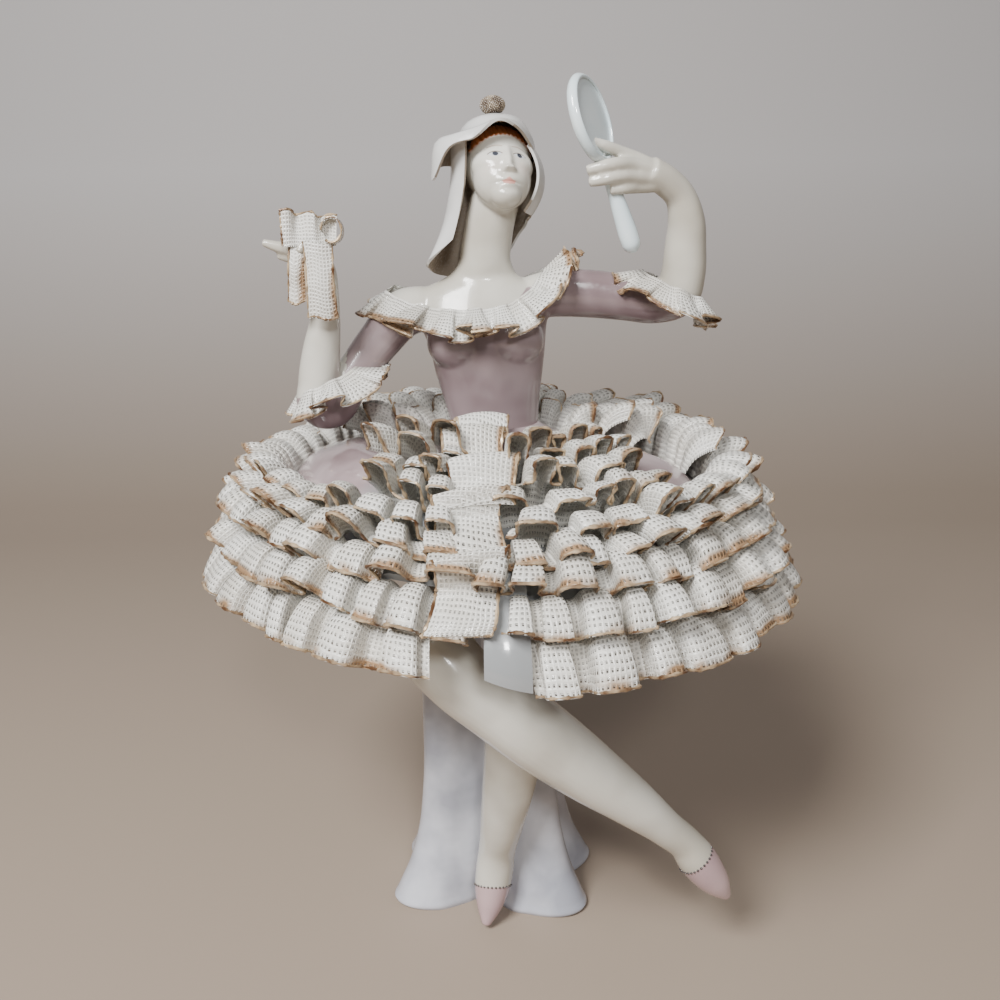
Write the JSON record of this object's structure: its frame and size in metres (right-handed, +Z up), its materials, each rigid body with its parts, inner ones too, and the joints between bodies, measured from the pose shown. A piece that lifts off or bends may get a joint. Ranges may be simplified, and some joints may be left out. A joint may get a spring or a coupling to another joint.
{
  "type": "ballerina figurine",
  "caption": "Glazed porcelain ballerina in a lace skirt, legs crossed, on a draped pedestal, holding a hand mirror and a lace kerchief",
  "frame": {"origin": "centre of the pedestal's underside, on the surface it stands on", "axes": "+Z up, +X to the viewer's right, the figurine's front faces -Y"},
  "size_m": [0.2204, 0.2202, 0.2988],
  "materials": {
    "porcelain_skin": "ivory glazed porcelain, high gloss",
    "white_glaze": "cool white glazed porcelain, high gloss",
    "mauve_lustre": "mauve lustre glaze, mottled, high gloss",
    "lace": "porcelain lace with open mesh, satin, gold-brown edge",
    "mirror_glaze": "pale blue-white glaze, high gloss",
    "beads": "brown and gold beads, satin"
  },
  "bodies": {
    "root": {"collar_frill": "lace", "cuff_frill_left": "lace", "cuff_frill_right": "lace", "draped_pedestal": "white_glaze", "figure": "porcelain_skin", "front_cascade": "lace", "hand_mirror": "mirror_glaze", "hat": "white_glaze", "hat_pompom": "beads", "lace_bow": "lace", "ruffle_1_hem": "lace", "ruffle_2": "lace", "ruffle_3": "lace", "ruffle_4": "lace", "ruffle_5": "lace", "ruffle_5_front_left": "lace", "ruffle_6_back": "lace", "ruffle_6_front_left": "lace", "ruffle_6_front_right": "lace", "ruffle_7_back": "lace", "ruffle_7_front_left": "lace", "ruffle_7_front_right": "lace", "ruffle_8_back": "lace", "underskirt": "mauve_lustre", "veil": "white_glaze"}
  },
  "joints": []
}
